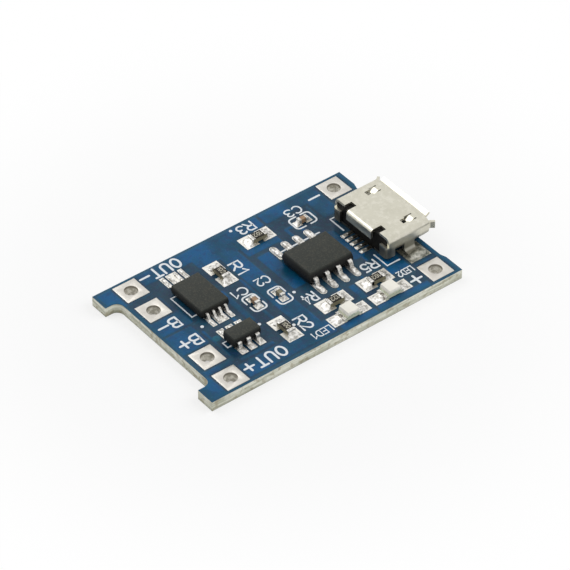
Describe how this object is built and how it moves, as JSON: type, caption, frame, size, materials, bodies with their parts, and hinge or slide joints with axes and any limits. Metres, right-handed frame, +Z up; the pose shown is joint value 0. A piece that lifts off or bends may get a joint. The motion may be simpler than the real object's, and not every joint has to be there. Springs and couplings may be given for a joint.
{
  "type": "battery charger module",
  "caption": "Small blue circuit module with a charging socket at one end, chips and wire pads.",
  "frame": {"origin": "middle of the board's underside", "axes": "+X along the board to the charging socket, +Y across the board to the minus wire pads, +Z up"},
  "size_m": [0.0283, 0.0172, 0.0037],
  "materials": {
    "laminate": "blue lacquer over glass-fibre laminate",
    "tinned_copper": "bright tin over copper",
    "solder": "smooth bright solder",
    "tinned_lead": "matte tin",
    "plated_steel": "plain tin-plated sheet",
    "plated_brass": "thin plating over brass",
    "socket_plastic": "moulded black",
    "chip_resin": "finely textured charcoal moulding",
    "resistor_ceramic": "plain white body",
    "capacitor_ceramic": "plain tan body",
    "resistor_glaze": "black glaze",
    "lamp_base": "white laminate",
    "lamp_lens": "cloudy cream moulding"
  },
  "bodies": {
    "root": {"battery_minus_terminal": "tinned_copper", "battery_plus_terminal": "tinned_copper", "capacitor_1_core": "capacitor_ceramic", "capacitor_1_ends": "tinned_lead", "capacitor_2_core": "capacitor_ceramic", "capacitor_2_ends": "tinned_lead", "capacitor_3_core": "capacitor_ceramic", "capacitor_3_ends": "tinned_lead", "capacitor_lands": "tinned_copper", "capacitor_solder": "solder", "charger_chip_body": "chip_resin", "charger_chip_heat_pad": "tinned_lead", "charger_chip_lands": "tinned_copper", "charger_chip_leads": "tinned_lead", "charger_chip_solder": "solder", "circuit_board": "laminate", "in_minus_terminal": "tinned_copper", "in_plus_terminal": "tinned_copper", "lamp_1_base": "lamp_base", "lamp_1_lens": "lamp_lens", "lamp_1_plates": "tinned_lead", "lamp_2_base": "lamp_base", "lamp_2_lens": "lamp_lens", "lamp_2_plates": "tinned_lead", "lamp_lands": "tinned_copper", "lamp_solder": "solder", "out_minus_terminal": "tinned_copper", "out_plus_terminal": "tinned_copper", "protector_body": "chip_resin", "protector_lands": "tinned_copper", "protector_leads": "tinned_lead", "protector_solder": "solder", "resistor_1_core": "resistor_ceramic", "resistor_1_ends": "tinned_lead", "resistor_1_glaze": "resistor_glaze", "resistor_2_core": "resistor_ceramic", "resistor_2_ends": "tinned_lead", "resistor_2_glaze": "resistor_glaze", "resistor_3_core": "resistor_ceramic", "resistor_3_ends": "tinned_lead", "resistor_3_glaze": "resistor_glaze", "resistor_4_core": "resistor_ceramic", "resistor_4_ends": "tinned_lead", "resistor_4_glaze": "resistor_glaze", "resistor_5_core": "resistor_ceramic", "resistor_5_ends": "tinned_lead", "resistor_5_glaze": "resistor_glaze", "resistor_lands": "tinned_copper", "resistor_solder": "solder", "socket_contacts": "plated_brass", "socket_housing": "socket_plastic", "socket_lands": "tinned_copper", "socket_shell": "plated_steel", "socket_solder": "solder", "transistor_body": "chip_resin", "transistor_lands": "tinned_copper", "transistor_leads": "tinned_lead", "transistor_solder": "solder"}
  },
  "joints": []
}
